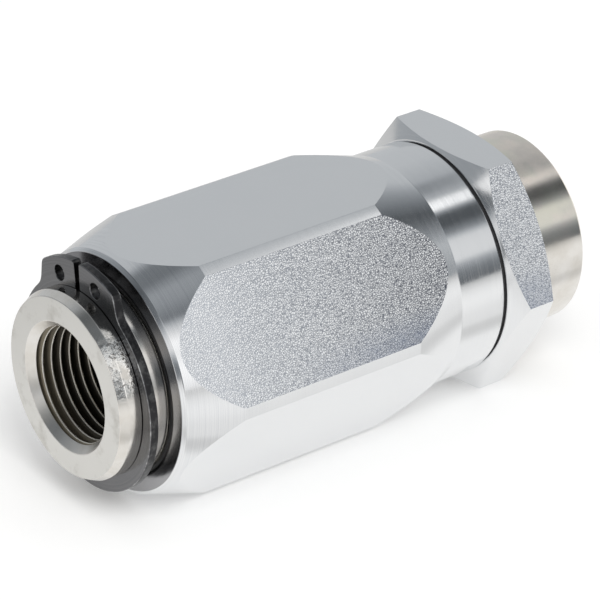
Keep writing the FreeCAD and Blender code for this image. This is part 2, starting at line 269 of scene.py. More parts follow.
def zinc_on_hexagon():
    """Grained flats, smooth flats and turned cones under one plating."""
    material, tree, shader, place, parts, radius = metal_plan("bright_zinc")
    limit = FLAT_DISTANCE - 0.012
    grained = calc(tree, "GREATER_THAN", across_flats(tree, place, 60), limit)
    smooth = calc(tree, "MAXIMUM", across_flats(tree, place, 0), across_flats(tree, place, 120))
    smooth = calc(tree, "GREATER_THAN", smooth, limit)
    turned = minus(tree, 1.0, calc(tree, "MAXIMUM", grained, smooth))
    oily = calc(tree, "LESS_THAN", parts[0], SLEEVE_FRONT + 0.03)

    grain = bar_grain(tree, place)
    clouds = noise(tree, place, 0.16, 3.0)
    rings = turning_rings(tree, parts, radius)
    deep = stretch(tree, parts[0], -24.0, 16.0, 0.15, 1.0)
    deep = calc(tree, "MINIMUM", deep, stretch(tree, parts[0], 18.0, 20.0, 1.0, 0.40))

    colour = turned_colour(tree, parts, radius, turned, clouds)
    colour = blend(tree, grained, colour, skin_colour(tree, place, parts, grain, deep, clouds))
    colour = blend(tree, oily, colour, oil_and_shade_on_face(tree, parts, radius))
    tree.links.new(colour, shader.inputs["Base Color"])

    gloss = plus(tree, stretch(tree, rings, 0.3, 0.7, 0.10, 0.17), times(tree, oily, 0.05))
    gloss = plus(tree, times(tree, turned, gloss), times(tree, grained, 0.22))
    gloss = plus(tree, gloss, times(tree, smooth, stretch(tree, clouds, 0.3, 0.7, 0.20, 0.26)))
    tree.links.new(gloss, shader.inputs["Roughness"])

    relief = times(tree, times(tree, stretch(tree, grain, 0.0, 0.2), grained), deep)
    relief = bump(tree, relief, 0.045)
    ring_height = times(tree, rings, stretch(tree, oily, 0.0, 1.0, turned, 4.0))
    tree.links.new(bump(tree, ring_height, 0.0008, relief), shader.inputs["Normal"])
    shader.inputs["Metallic"].default_value = 1.0
    return material


BRIGHT_ZINC = zinc_on_hexagon()
print("made", BRIGHT_ZINC.name, "with", len(BRIGHT_ZINC.node_tree.nodes), "nodes")

# %% [markdown]
# The tube has a warmer coat. Its end faces are matt with faint stains, its turned
# cylinders shine, the nose has one worn patch of small pits, and a yellow and pink film
# lies on the tail's upper side. Oil stays in the ports: the grooves of the thread are
# brown, the crests stay brighter than the grooves, and painted shade darkens grooves and
# crests alike deeper in the port. The radius and the depth below the nearer end face
# tell these places apart.


# %% Warm zinc on the tube
WORN_PATCH = (-34.6, -9.75, 7.35)
TAIL_START = 26.5
NOSE_SIDE = 11.7
GROOVE_FRONT = 2.92
COUNTERSINK_DEPTH = 1.03
CREST_RADIUS = 7.475


def tail_film(tree, place, parts, stains, colour):
    """Yellow and pink film on the tail's upper side."""
    film = blend(tree, stretch(tree, noise(tree, place, 0.22, 2.0), 0.42, 0.58),
                 (0.88, 0.80, 0.72), (0.84, 0.81, 0.70))
    share = times(tree, stretch(tree, parts[0], TAIL_START, TAIL_START + 1.0),
                  stretch(tree, parts[2], 2.0, 8.0))
    share = times(tree, share, stretch(tree, stains, 0.30, 0.55, 0.5, 1.0))
    return blend(tree, share, colour, film)


def worn_share(tree, place, radius, depth, stains):
    """How worn the nose is: a patch on its outside, in front of the ring's groove."""
    away = vector_calc(tree, "DISTANCE", place, WORN_PATCH, result="Value")
    worn = times(tree, stretch(tree, away, 4.7, 2.8), stretch(tree, stains, 0.40, 0.52))
    worn = times(tree, worn, calc(tree, "GREATER_THAN", radius, NOSE_SIDE))
    return times(tree, worn, calc(tree, "LESS_THAN", depth, GROOVE_FRONT))


def port_oil_and_shade(tree, radius, depth):
    """Oil in the grooves of a port's thread and its bright crests, both darkened deeper in the port by
    painted shade.
    """
    # painted shade: grooves and crests get darker with the depth below the port's face
    oil = blend(tree, stretch(tree, depth, 0.9, 4.5), (0.24, 0.21, 0.155), (0.035, 0.030, 0.022))
    crest = blend(tree, stretch(tree, depth, 2.0, 9.0), (0.98, 0.95, 0.88), (0.85, 0.80, 0.70))
    return blend(tree, stretch(tree, radius, CREST_RADIUS + 0.01, CREST_RADIUS + 0.085), crest, oil)


def warm_zinc():
    """Warm plating with matt faces, shiny cylinders, worn pits and oily bores."""
    material, tree, shader, place, parts, radius = metal_plan("warm_zinc")
    depth = minus(tree, HALF_LENGTH, calc(tree, "ABSOLUTE", parts[0]))
    on_face = calc(tree, "LESS_THAN", depth, 0.02)
    in_mouth = calc(tree, "LESS_THAN", radius, 8.54)
    in_port = times(tree, calc(tree, "LESS_THAN", radius, 8.45),
                  calc(tree, "GREATER_THAN", depth, COUNTERSINK_DEPTH))
    stains = noise(tree, place, 0.30, 4.0, 0.6)
    pits = noise(tree, place, 2.6, 3.0, 0.7)
    worn = worn_share(tree, place, radius, depth, stains)

    colour = blend(tree, stretch(tree, stains, 0.35, 0.7), (0.72, 0.69, 0.64), (0.82, 0.80, 0.77))
    colour = tail_film(tree, place, parts, stains, colour)
    faded = blend(tree, stretch(tree, stains, 0.28, 0.46), (0.52, 0.505, 0.47), (0.67, 0.66, 0.63))
    colour = blend(tree, on_face, colour, faded)
    colour = blend(tree, worn, colour, (0.96, 0.95, 0.92))
    colour = blend(tree, times(tree, worn, stretch(tree, pits, 0.52, 0.60)), colour, (0.30, 0.28, 0.26))
    colour = blend(tree, in_port, colour, port_oil_and_shade(tree, radius, depth))
    tree.links.new(colour, shader.inputs["Base Color"])

    gloss = times(tree, calc(tree, "MAXIMUM", on_face, in_mouth), 0.18)
    gloss = plus(tree, stretch(tree, stains, 0.3, 0.7, 0.20, 0.13), gloss)
    tree.links.new(gloss, shader.inputs["Roughness"])
    tree.links.new(stretch(tree, in_port, 0.0, 1.0, 1.0, 0.75), shader.inputs["Metallic"])
    relief = bump(tree, times(tree, pits, worn), 0.06)
    relief = bump(tree, times(tree, noise(tree, place, 1.4, 3.0), on_face), 0.008, relief)
    relief = bump(tree, turning_rings(tree, parts, radius, 6.0), 0.001, relief)
    tree.links.new(relief, shader.inputs["Normal"])
    return material


WARM_ZINC = warm_zinc()
print("made", WARM_ZINC.name, "with", len(WARM_ZINC.node_tree.nodes), "nodes")

# %% [markdown]
# The stop ring is punched from spring steel and phosphated nearly black. Its faces show
# fine drawn lines and its punched rim is mottled. Its rounded edges get a lighter colour
# as a painted highlight, broken up by noise, but not round the plier holes. The rounded
# edges carry an attribute, and the finish reads it. The seals are matt rubber, the
# backing rings white plastic, and the small parts inside are plain turned or drawn steel.


# %% Dark ring, rubber, plastic and plain steel
RING_MIDDLE = -32.75
HOLES_MIDDLE = 1.4


def off(tree, value, middle):
    """Distance of a value from a middle, on either side."""
    return calc(tree, "ABSOLUTE", minus(tree, value, middle))


def phosphated_steel():
    """Nearly black, with fine lines, mottled patches and a painted highlight on its rounded edges."""
    material, tree, shader, place, parts, radius = metal_plan("black_phosphate")
    lines = turning_rings(tree, parts, radius, 14.0)
    rubbing_and_edge_sheen = noise(tree, place, 0.9, 5.0, 0.65)
    punched = calc(tree, "LESS_THAN", off(tree, parts[0], RING_MIDDLE), 0.5)
    colour = blend(tree, stretch(tree, lines, 0.35, 0.7), (0.13, 0.13, 0.135), (0.18, 0.18, 0.185))
    mottled = blend(tree, stretch(tree, rubbing_and_edge_sheen, 0.48, 0.62), (0.04, 0.04, 0.042), (0.10, 0.10, 0.10))
    colour = blend(tree, punched, colour, mottled)
    # painted highlight: the rounded edges are coloured light grey in place of the glint they would catch
    edge = add(tree, "ShaderNodeAttribute", attribute_name="rounded_edge").outputs["Fac"]
    edge = times(tree, edge, stretch(tree, rubbing_and_edge_sheen, 0.45, 0.65, 0.05, 1.0))
    edge = times(tree, edge, stretch(tree, off(tree, parts[1], HOLES_MIDDLE), 5.2, 5.8))
    colour = blend(tree, edge, colour, (0.50, 0.50, 0.50))
    tree.links.new(colour, shader.inputs["Base Color"])
    gloss = plus(tree, stretch(tree, rubbing_and_edge_sheen, 0.3, 0.7, 0.24, 0.16), times(tree, punched, 0.14))
    tree.links.new(gloss, shader.inputs["Roughness"])
    tree.links.new(bump(tree, noise(tree, place, 2.0, 3.0), 0.006), shader.inputs["Normal"])
    shader.inputs["Metallic"].default_value = 1.0
    return material


def plain_finish(name, dark, light, rough, metallic, grain, depth):
    """A finish of two close tones, with a grain of so many blobs to the millimetre."""
    material, tree, shader, place = metal_plan(name)[:4]
    tone = noise(tree, place, grain, 4.0)
    tree.links.new(blend(tree, stretch(tree, tone, 0.3, 0.7), dark, light), shader.inputs["Base Color"])
    tree.links.new(stretch(tree, tone, 0.3, 0.7, rough, rough + 0.1), shader.inputs["Roughness"])
    tree.links.new(bump(tree, tone, depth), shader.inputs["Normal"])
    shader.inputs["Metallic"].default_value = metallic
    return material


BLACK_PHOSPHATE = phosphated_steel()
RUBBER = plain_finish("seal_rubber", (0.014, 0.014, 0.015), (0.03, 0.03, 0.032), 0.55, 0.0, 3.0, 0.01)
WHITE_PLASTIC = plain_finish("white_plastic", (0.78, 0.78, 0.75), (0.88, 0.88, 0.86), 0.40, 0.0, 1.5, 0.004)
TURNED_STEEL = plain_finish("turned_steel", (0.42, 0.42, 0.43), (0.60, 0.60, 0.61), 0.28, 1.0, 2.0, 0.004)
SPRING_STEEL = plain_finish("drawn_wire", (0.34, 0.34, 0.35), (0.48, 0.48, 0.49), 0.30, 1.0, 4.0, 0.004)
print("made five more finishes")

# %% [markdown]
# ## Turned pieces
#
# Every piece below is made by a geometry tree with named inputs. The same three steps
# serve all of them: open a tree with its inputs, end it with shading and a material,
# and run it on a mesh of plain points. The result is copied as a plain mesh, so no
# modifier is left on the piece.


# %% Sockets of a new geometry tree
def new_tree(title, inputs):
    """A geometry tree with named inputs; hands back the tree and its two ends."""
    tree = bpy.data.node_groups.new(title, "GeometryNodeTree")
    tree.interface.new_socket("Geometry", in_out="INPUT", socket_type="NodeSocketGeometry")
    for label, kind in inputs:
        tree.interface.new_socket(label, in_out="INPUT", socket_type="NodeSocket" + kind)
    tree.interface.new_socket("Geometry", in_out="OUTPUT", socket_type="NodeSocketGeometry")
    start = tree.nodes.new("NodeGroupInput")
    end = tree.nodes.new("NodeGroupOutput")
    return tree, start, end


def finish_tree(tree, geometry, finish, end, sharp=12.0):
    """Smooth all but the sharp edges, realize instances, set the material, and end."""
    angle = add(tree, "GeometryNodeInputMeshEdgeAngle").outputs[0]
    crisp = add(tree, "FunctionNodeCompare", [angle, math.radians(sharp)], operation="GREATER_THAN")
    smooth = add(tree, "GeometryNodeSetShadeSmooth", [geometry, None, True], domain="FACE").outputs[0]
    values = [smooth, crisp.outputs[0], False]
    split = add(tree, "GeometryNodeSetShadeSmooth", values, domain="EDGE").outputs[0]
    whole = add(tree, "GeometryNodeRealizeInstances", [split]).outputs[0]
    painted = add(tree, "GeometryNodeSetMaterial", {"Geometry": whole, "Material": finish}).outputs[0]
    tree.links.new(painted, end.inputs[0])


def run_tree(tree, name, points, values):
    """Run a tree on a mesh of plain points and keep the result as a plain mesh."""
    plan = bpy.data.meshes.new(name + "_plan")
    plan.from_pydata(points, [], [])
    holder = new_object(name + "_plan", plan)
    modifier = holder.modifiers.new("Maker", "NODES")
    modifier.node_group = tree
    for socket in tree.interface.items_tree:
        if socket.item_type == "SOCKET" and socket.in_out == "INPUT" and socket.name in values:
            modifier[socket.identifier] = values[socket.name]
    graph = bpy.context.evaluated_depsgraph_get()
    mesh = bpy.data.meshes.new_from_object(holder.evaluated_get(graph), depsgraph=graph)
    bpy.data.objects.remove(holder)
    mesh.name = name
    piece = new_object(name, mesh)
    print(name, "has", len(mesh.polygons), "faces")
    return piece


print("helpers for geometry trees are ready")

# %% [markdown]
# A lathe turns an outline about an axis. In Geometry Nodes a grid can do the same: one
# side of the grid runs along the outline, the other runs round the axis. Each grid
# point looks up its outline point by its index and is then turned about X. Where the
# grid comes round to its start, close points are merged, and the piece is a closed
# solid. The outline itself is the mesh that the tree starts from.


# %% The lathe as a part of a tree
def lathe(tree, outline, count, segments):
    """Turn the outline's points about X; the last step closes the solid."""
    rows = plus(tree, count, 1.0)
    columns = plus(tree, segments, 1.0)
    grid = add(tree, "GeometryNodeMeshGrid", [1.0, 1.0, rows, columns]).outputs[0]
    index = add(tree, "GeometryNodeInputIndex").outputs[0]
    row = calc(tree, "FLOOR", calc(tree, "DIVIDE", plus(tree, index, 0.5), columns))
    column = minus(tree, index, times(tree, row, columns))
    point = calc(tree, "MODULO", row, count)
    place = add(tree, "GeometryNodeInputPosition").outputs[0]
    looked_up = add(tree, "GeometryNodeSampleIndex", {"Geometry": outline, "Value": place, "Index": point},
                    data_type="FLOAT_VECTOR").outputs[0]
    turn = times(tree, calc(tree, "DIVIDE", column, segments), 2 * math.pi)
    turned = add(tree, "ShaderNodeVectorRotate", {"Vector": looked_up, "Axis": (1, 0, 0), "Angle": turn},
                 rotation_type="AXIS_ANGLE").outputs[0]
    placed = add(tree, "GeometryNodeSetPosition", {"Geometry": grid, "Position": turned}).outputs[0]
    closed = add(tree, "GeometryNodeMergeByDistance", {"Geometry": placed, "Distance": 1e-6}).outputs[0]
    return add(tree, "GeometryNodeFlipFaces", [closed]).outputs[0]


print("the lathe is ready")

# %% [markdown]
# Real corners are never knife sharp. Before it is turned, each corner of an outline is
# replaced by a short slant of a few hundredths of a millimetre, which catches a thin
# line of light as the plated edge does.


# %% Break the corners of an outline
def broken_corners(outline, width=0.06):
    """A closed outline with a small slant in place of each corner."""
    result = []
    count = len(outline)
    for i, corner in enumerate(outline):
        for other in (outline[i - 1], outline[(i + 1) % count]):
            length = math.dist(corner, other)
            share = min(width, length / 4) / length
            result.append(tuple(c + (o - c) * share for c, o in zip(corner, other)))
    return result


print("a square becomes", len(broken_corners([(0, 0), (1, 0), (1, 1), (0, 1)])), "points")

# %% [markdown]
# ## Sleeve and nut
#
# Both follow one rule: hexagon bar, turned. The part that the bar and the turned shape
# have in common is the piece, and the arcs where cones meet flats come out by
# themselves. The Boolean node's exact solver keeps those arcs crisp. Edges of more than
# 5 degrees stay sharp, and so does the shallow edge between the long cone and the collar.


# %% A tree for turned hexagon bar
def hexagon_tree():
    """What a turned blank and a hexagon bar have in common."""
    tree, start, end = new_tree("turned_hexagon_bar", [
        ("Outline Points", "Int"), ("Segments", "Int"), ("Across Flats", "Float"),
        ("Bar Start", "Float"), ("Bar Length", "Float"), ("Finish", "Material")])
    sizes = start.outputs
    blank = lathe(tree, sizes["Geometry"], sizes["Outline Points"], sizes["Segments"])
    corner = calc(tree, "DIVIDE", sizes["Across Flats"], 2 * math.cos(math.radians(30)))
    bar = add(tree, "GeometryNodeMeshCylinder",
              {"Vertices": 6, "Radius": corner, "Depth": sizes["Bar Length"]}).outputs[0]
    middle = plus(tree, sizes["Bar Start"], calc(tree, "DIVIDE", sizes["Bar Length"], 2.0))
    middle = add(tree, "ShaderNodeCombineXYZ", [middle]).outputs[0]
    lying = (0, math.radians(90), 0)
    bar = add(tree, "GeometryNodeTransform", {"Geometry": bar, "Rotation": lying}).outputs[0]
    bar = add(tree, "GeometryNodeTransform",
              {"Geometry": bar, "Translation": middle, "Rotation": (math.radians(30), 0, 0)}).outputs[0]
    common = add(tree, "GeometryNodeMeshBoolean", [None, blank], operation="INTERSECT", solver="EXACT")
    tree.links.new(bar, common.inputs[1])
    cut = common.outputs[0]
    cut = add(tree, "GeometryNodeMergeByDistance", {"Geometry": cut, "Distance": 2e-6}).outputs[0]
    finish_tree(tree, cut, sizes["Finish"], end, sharp=5.0)
    return tree


TURNED_HEXAGON = hexagon_tree()
print("the tree for turned hexagon bar has", len(TURNED_HEXAGON.nodes), "nodes")

# %% [markdown]
# The sleeve's outline starts at its front end and follows the outside: a rim with a
# chamfer, a cone up to the trimmed corners, a long cone down to the rear collar. It
# comes back through the thread's plain bore, the rear seal's groove, the flow chamber,
# and the grooves of the front seal and the wiper.

# %% The adjusting sleeve
SLEEVE_OUTLINE = [
    (6.51, 15.341), (6.96, 15.791), (14.0, 18.031), (41.05, 18.031), (49.82, 15.526), (56.58, 15.526),
    (56.78, 15.326), (56.78, 14.051), (50.01, 14.051), (50.01, 12.861), (48.41, 12.861), (48.41, 14.301),
    (44.81, 14.301), (44.81, 12.861), (41.31, 12.861), (41.31, 14.301), (19.61, 14.301), (18.11, 12.861),
    (14.61, 12.861), (14.61, 14.301), (11.01, 14.301), (11.01, 12.861), (9.41, 12.861), (9.41, 14.301),
    (7.01, 14.301), (7.01, 13.201), (6.51, 13.201)]


def hexagon_piece(name, outline, start, length):
    """Turned hexagon bar from an outline; the bar is a little longer than the piece."""
    points = outline_points(broken_corners(outline))
    return run_tree(TURNED_HEXAGON, name, points, {
        "Outline Points": len(points), "Segments": 240, "Across Flats": 2 * FLAT_DISTANCE * MM,
        "Bar Start": along(start), "Bar Length": length * MM, "Finish": BRIGHT_ZINC})


sleeve = hexagon_piece("hexagon_sleeve", SLEEVE_OUTLINE, start=5.0, length=54.0)
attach(sleeve, "sleeve")
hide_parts("adjusting_sleeve")

# %% [markdown]
# The nut is chamfered at 27 degrees on both ends, which draws the curved line over
# every flat. Its front has a recess for the rubber ring, its bore ends in a chamfer.

# %% The lock nut
NUT_OUTLINE = [
    (57.15, 15.601), (58.818, 18.876), (62.132, 18.876), (63.8, 15.601), (63.8, 14.551), (63.3, 14.051),
    (58.25, 14.051), (58.25, 15.301), (57.15, 15.301)]
nut = hexagon_piece("hexagon_nut", NUT_OUTLINE, start=56.0, length=9.0)
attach(nut, "nut")
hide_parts("lock_nut")

# %% [markdown]
# ## Housing tube
#
# The tube is turned from round bar: nose with the ring's groove, guide land, a band for
# the adjusting thread and the tail. Its bore has a countersunk port at both ends, the
# seat for the poppet and a groove for the snap ring. Side bores are drilled through the
# wall, four wide and six narrow. Drills repeat, so a circle of points carries one drill
# each, and one Boolean takes them all away.


# %% A tree for a turned and drilled tube
def drills(tree, station, count, diameter, reach):
    """Cylinders that point outwards from near the axis at a station, as far as the reach."""
    middle, length = 0.55 * reach, 0.9 * reach
    circle = add(tree, "GeometryNodeMeshCircle", {"Vertices": count, "Radius": middle}).outputs[0]
    place = add(tree, "ShaderNodeCombineXYZ", [station]).outputs[0]
    quarter = math.radians(90)
    circle = add(tree, "GeometryNodeTransform",
                 {"Geometry": circle, "Translation": place, "Rotation": (0, quarter, 0)}).outputs[0]
    sizes = {"Vertices": 40, "Radius": calc(tree, "DIVIDE", diameter, 2.0), "Depth": length}
    drill = add(tree, "GeometryNodeMeshCylinder", sizes).outputs[0]
    place = add(tree, "GeometryNodeInputPosition").outputs[0]
    outwards = vector_calc(tree, "MULTIPLY", place, (0, 1, 1))
    turn = add(tree, "FunctionNodeAlignRotationToVector", {"Vector": outwards}, axis="Z").outputs[0]
    copies = add(tree, "GeometryNodeInstanceOnPoints",
                 {"Points": circle, "Instance": drill, "Rotation": turn}).outputs[0]
    return add(tree, "GeometryNodeRealizeInstances", [copies]).outputs[0]


def drilled_tree():
    """A turned tube with two rows of side bores."""
    tree, start, end = new_tree("turned_and_drilled", [
        ("Outline Points", "Int"), ("Segments", "Int"), ("Wide Bore Place", "Float"), ("Wide Bore", "Float"),
        ("Wide Bores", "Int"), ("Narrow Bore Place", "Float"), ("Narrow Bore", "Float"),
        ("Narrow Bores", "Int"), ("Finish", "Material")])
    sizes = start.outputs
    tube = lathe(tree, sizes["Geometry"], sizes["Outline Points"], sizes["Segments"])
    reach = 0.0145
    wide = drills(tree, sizes["Wide Bore Place"], sizes["Wide Bores"], sizes["Wide Bore"], reach)
    narrow = drills(tree, sizes["Narrow Bore Place"], sizes["Narrow Bores"], sizes["Narrow Bore"], reach)
    cut = add(tree, "GeometryNodeMeshBoolean", [tube, wide], operation="DIFFERENCE", solver="EXACT")
    tree.links.new(narrow, cut.inputs[1])
    finish_tree(tree, cut.outputs[0], sizes["Finish"], end)
    return tree


TURNED_AND_DRILLED = drilled_tree()
print("the tree for the tube has", len(TURNED_AND_DRILLED.nodes), "nodes")

# %% [markdown]
# The tube's outline starts at the nose face and follows the outside to the tail face.
# It comes back through the tail port, the chamber with the snap ring's groove, the
# seat, the flow bore and the nose port.

# %% The tube itself
TUBE_OUTLINE = [
    (0.0, 11.651), (1.1, 12.201), (2.9, 12.201), (2.9, 11.451), (4.2, 11.451), (4.2, 12.501), (4.5, 12.801),
    (50.31, 12.801), (50.5, 13.08), (63.3, 13.08), (63.5, 12.801), (72.2, 12.801), (72.6, 12.401),
    (72.6, 8.531), (71.55, 7.57), (71.32, 8.331), (60.6, 8.331), (59.98, 7.3), (55.31, 7.3), (55.31, 7.7),
    (54.11, 7.7), (54.11, 7.3), (33.11, 7.3), (33.11, 5.8), (32.31, 5.0), (30.11, 5.0), (30.11, 6.0),
    (13.4, 6.0), (12.0, 8.331), (1.28, 8.331), (1.05, 7.57), (0.0, 8.531)]
tube_points = outline_points(broken_corners(TUBE_OUTLINE))
tube = run_tree(TURNED_AND_DRILLED, "turned_tube", tube_points, {
    "Outline Points": len(tube_points), "Segments": 192, "Wide Bore Place": along(24.01), "Wide Bore": 4 * MM,
    "Wide Bores": 4, "Narrow Bore Place": along(40.11), "Narrow Bore": 2 * MM, "Narrow Bores": 6,
    "Finish": WARM_ZINC})
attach(tube, "housing")
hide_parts("housing_tube")

# %% [markdown]
# ## Threads
#
# A thread is one ridge that winds round the axis and climbs by its pitch with every
# turn. The grid is used again: its rows follow the helix, and its columns go once round
# the ridge's section, whose points are the mesh that the tree starts from. The ridge
# grows out of the wall over a quarter of a turn and sinks back in the same way. In a
# port the countersink cuts its first turn down.


# %% A tree for one thread
def thread_tree():
    """A ridge on a helix: the section's X counts pitches, its Z counts thread depths."""
    tree, start, end = new_tree("helical_ridge", [
        ("Section Points", "Int"), ("Steps Per Turn", "Int"), ("Turns", "Float"), ("Pitch", "Float"),
        ("First X", "Float"), ("Base Radius", "Float"), ("Crest Radius", "Float"), ("Mouth X", "Float"),
        ("Mouth Radius", "Float"), ("Mouth Slope", "Float"), ("Finish", "Material")])
    sizes = start.outputs
    steps = sizes["Steps Per Turn"]
    last = calc(tree, "ROUND", times(tree, sizes["Turns"], steps))
    columns = plus(tree, sizes["Section Points"], 1.0)
    grid = add(tree, "GeometryNodeMeshGrid", [1.0, 1.0, plus(tree, last, 1.0), columns]).outputs[0]
    index = add(tree, "GeometryNodeInputIndex").outputs[0]
    row = calc(tree, "FLOOR", calc(tree, "DIVIDE", plus(tree, index, 0.5), columns))
    column = minus(tree, index, times(tree, row, columns))
    looked_up = add(tree, "GeometryNodeSampleIndex", {
        "Geometry": sizes["Geometry"], "Value": add(tree, "GeometryNodeInputPosition").outputs[0],
        "Index": calc(tree, "MODULO", column, sizes["Section Points"])}, data_type="FLOAT_VECTOR").outputs[0]
    section = add(tree, "ShaderNodeSeparateXYZ", [looked_up]).outputs
    turns = calc(tree, "DIVIDE", row, steps)
    turns_left = calc(tree, "DIVIDE", minus(tree, last, row), steps)
    growth = stretch(tree, calc(tree, "MINIMUM", turns, turns_left), 0.0, 0.25)
    pitches = plus(tree, turns, times(tree, section[0], growth))
    x = plus(tree, sizes["First X"], times(tree, pitches, sizes["Pitch"]))
    depth = minus(tree, sizes["Crest Radius"], sizes["Base Radius"])
    depth = times(tree, depth, times(tree, section[2], growth))
    radius = plus(tree, sizes["Base Radius"], depth)
    inwards = calc(tree, "ABSOLUTE", minus(tree, x, sizes["Mouth X"]))
    cone = minus(tree, sizes["Mouth Radius"], times(tree, inwards, sizes["Mouth Slope"]))
    radius = calc(tree, "MAXIMUM", radius, cone)
    flat = add(tree, "ShaderNodeCombineXYZ", [x, None, radius]).outputs[0]
    angle = times(tree, turns, 2 * math.pi)
    turned = add(tree, "ShaderNodeVectorRotate", {"Vector": flat, "Axis": (1, 0, 0), "Angle": angle},
                 rotation_type="AXIS_ANGLE").outputs[0]
    placed = add(tree, "GeometryNodeSetPosition", {"Geometry": grid, "Position": turned}).outputs[0]
    closed = add(tree, "GeometryNodeMergeByDistance", {"Geometry": placed, "Distance": 1e-6}).outputs[0]
    finish_tree(tree, closed, sizes["Finish"], end, sharp=35.0)
    return tree


THREAD = thread_tree()
print("the thread tree has", len(THREAD.nodes), "nodes")

# %% [markdown]
# The ports have pipe thread, 19 turns to the inch. The section below is one ridge: a
# base nearly as wide as the pitch, flanks that lean by about 30 degrees, and a crest
# with two small shoulders in place of its rounding. It is listed so that the ridge's
# faces look outwards.

# %% Threads in both ports
PIPE_SECTION = [(0.48, -0.06), (0.44, 0.04), (0.14, 0.84), (0.04, 1.0), (-0.04, 1.0), (-0.14, 0.84),
                (-0.44, 0.04), (-0.48, -0.06)]
PIPE_PITCH = 1.337


def thread_piece(name, section, values):
    """One thread on the housing."""
    points = [(x, 0.0, z) for x, z in section]
    piece = run_tree(THREAD, name, points, {
        "Section Points": len(points), "Steps Per Turn": 96, "Finish": WARM_ZINC, **values})
    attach(piece, "housing")
    return piece


def port_thread(name, first, mouth):
    """Pipe thread in one port; the mouth is the station of the port's face."""
    return thread_piece(name, PIPE_SECTION, {
        "Turns": 8.0, "Pitch": PIPE_PITCH * MM, "First X": along(first), "Base Radius": 8.331 * MM,
        "Crest Radius": CREST_RADIUS * MM, "Mouth X": along(mouth), "Mouth Radius": 8.551 * MM,
        "Mouth Slope": 0.92})


nose_thread = port_thread("nose_port_thread", first=0.9, mouth=0.0)
tail_thread = port_thread("tail_port_thread", first=61.0, mouth=72.6)

# %% [markdown]
# The adjusting thread has a pitch of 1.5 mm and stands out from the tube. It shows
# between sleeve and nut when the nut is backed off.

# %% Adjusting thread
METRIC_SECTION = [(-0.48, -0.06), (-0.44, 0.03), (-0.09, 1.0), (0.09, 1.0), (0.44, 0.03), (0.48, -0.06)]
adjusting_thread = thread_piece("adjusting_thread", METRIC_SECTION, {
    "Turns": 8.1, "Pitch": 1.5 * MM, "First X": along(50.95), "Base Radius": 13.08 * MM,
    "Crest Radius": 13.995 * MM, "Mouth X": 0.0, "Mouth Radius": 0.0, "Mouth Slope": 0.0})

# %% [markdown]
# ## Closing spring
#
# The spring is a wire on a helix whose turns lie closer at both ends. A line of points
# is bent to that path, made a curve, and a small circle is swept along it.


# %% A tree for the spring
def spring_tree():
    """Wire swept along a helix; the ends wind closer than the middle."""
    tree, start, end = new_tree("coil_spring", [
        ("Turns", "Float"), ("Coil Radius", "Float"), ("Wire Radius", "Float"), ("First X", "Float"),
        ("Height", "Float"), ("Closeness", "Float"), ("Finish", "Material")])
    sizes = start.outputs
    steps = 56
    count = plus(tree, times(tree, sizes["Turns"], steps), 1.0)
    line = add(tree, "GeometryNodeMeshLine", {"Count": count}).outputs[0]
    index = add(tree, "GeometryNodeInputIndex").outputs[0]
    share = calc(tree, "DIVIDE", index, minus(tree, count, 1.0))
    wave = calc(tree, "SINE", times(tree, share, 2 * math.pi))
    climb = minus(tree, share, times(tree, wave, sizes["Closeness"]))
    x = plus(tree, sizes["First X"], times(tree, climb, sizes["Height"]))
    angle = times(tree, calc(tree, "DIVIDE", index, steps), 2 * math.pi)
    flat = add(tree, "ShaderNodeCombineXYZ", [x, None, sizes["Coil Radius"]]).outputs[0]
    turned = add(tree, "ShaderNodeVectorRotate", {"Vector": flat, "Axis": (1, 0, 0), "Angle": angle},
                 rotation_type="AXIS_ANGLE").outputs[0]
    path = add(tree, "GeometryNodeSetPosition", {"Geometry": line, "Position": turned}).outputs[0]
    path = add(tree, "GeometryNodeMeshToCurve", [path]).outputs[0]
    values = {"Resolution": 14, "Radius": sizes["Wire Radius"]}
    wire = add(tree, "GeometryNodeCurvePrimitiveCircle", values).outputs[0]
    values = {"Curve": path, "Profile Curve": wire, "Fill Caps": True}
    coil = add(tree, "GeometryNodeCurveToMesh", values).outputs[0]
    finish_tree(tree, coil, sizes["Finish"], end, sharp=40.0)
    return tree


SPRING_TREE = spring_tree()
spring = run_tree(SPRING_TREE, "closing_spring", [(0, 0, 0)], {
    "Turns": 5.0, "Coil Radius": 4.8 * MM, "Wire Radius": 0.45 * MM, "First X": along(36.09),
    "Height": 15.54 * MM, "Closeness": 0.07, "Finish": SPRING_STEEL})
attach(spring, "housing")
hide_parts("valve_spring")
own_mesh(spring)

# %% [markdown]
# ## Stop ring
#
# The ring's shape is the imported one, but a punched ring has rounded edges. A copy of its
# mesh is merged, its flat faces are joined, and its sharp edges are rounded a little.
# The ring is free to creep round its groove, and here it has crept by a degree.


